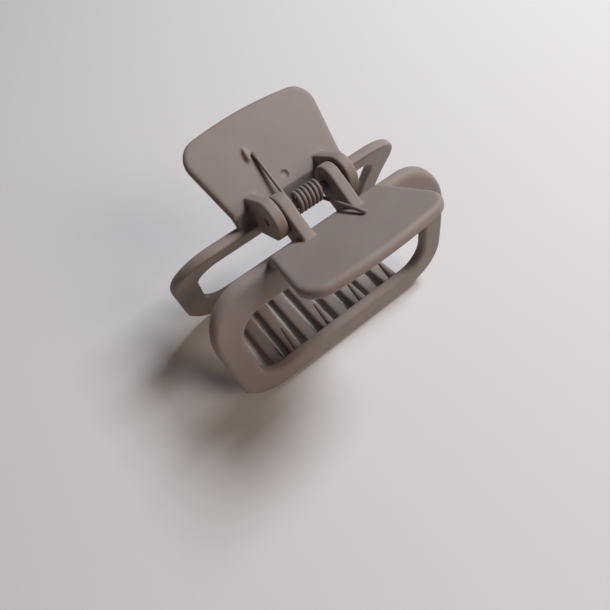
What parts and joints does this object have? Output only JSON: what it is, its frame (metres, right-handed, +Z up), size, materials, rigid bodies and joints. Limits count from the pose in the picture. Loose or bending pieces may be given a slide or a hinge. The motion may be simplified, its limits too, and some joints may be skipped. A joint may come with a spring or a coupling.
{
  "type": "hair claw clip",
  "caption": "Spring claw hair clip: two arched open-frame jaws with interlocking teeth, flared finger grips, hinge pin and torsion spring.",
  "frame": {"origin": "under the middle of the closed clip, at the height of the teeth's lowest point", "axes": "+X along the hinge pin (the clip's length), rear jaw toward +Y, front jaw toward -Y, +Z up from the teeth to the grips"},
  "size_m": [0.0844, 0.0606, 0.0632],
  "materials": {
    "moulding": "soft-touch rubberised matte paint over moulded plastic, warm grey-brown",
    "spring": "spring steel wire under the same matte paint",
    "pin": "steel pin, its ends under the same matte paint"
  },
  "bodies": {
    "rear_jaw": {"rear_frame": "moulding", "rear_neck": "moulding", "rear_grip": "moulding", "rear_ear_left": "moulding", "rear_ear_right": "moulding", "rear_tooth_1": "moulding", "rear_tooth_2": "moulding", "rear_tooth_3": "moulding", "rear_tooth_4": "moulding", "rear_inner_teeth": "moulding", "spring_stop": "moulding", "hinge_pin": "pin", "torsion_spring": "spring"},
    "front_jaw": {"front_frame": "moulding", "front_neck": "moulding", "front_grip": "moulding", "front_arm_left": "moulding", "front_arm_right": "moulding", "front_tooth_1": "moulding", "front_tooth_2": "moulding", "front_tooth_3": "moulding", "front_tooth_4": "moulding", "front_inner_teeth": "moulding"}
  },
  "joints": [
    {"name": "jaw_hinge", "type": "hinge", "parent": "rear_jaw", "child": "front_jaw", "pos_m": [0, 0, 0.0541], "axis": [-1, 0, 0], "range_deg": [0, 60], "stiffness_Nm_per_rad": 0.091, "springref_deg": -34.38, "deforming": ["torsion_spring"]}
  ]
}
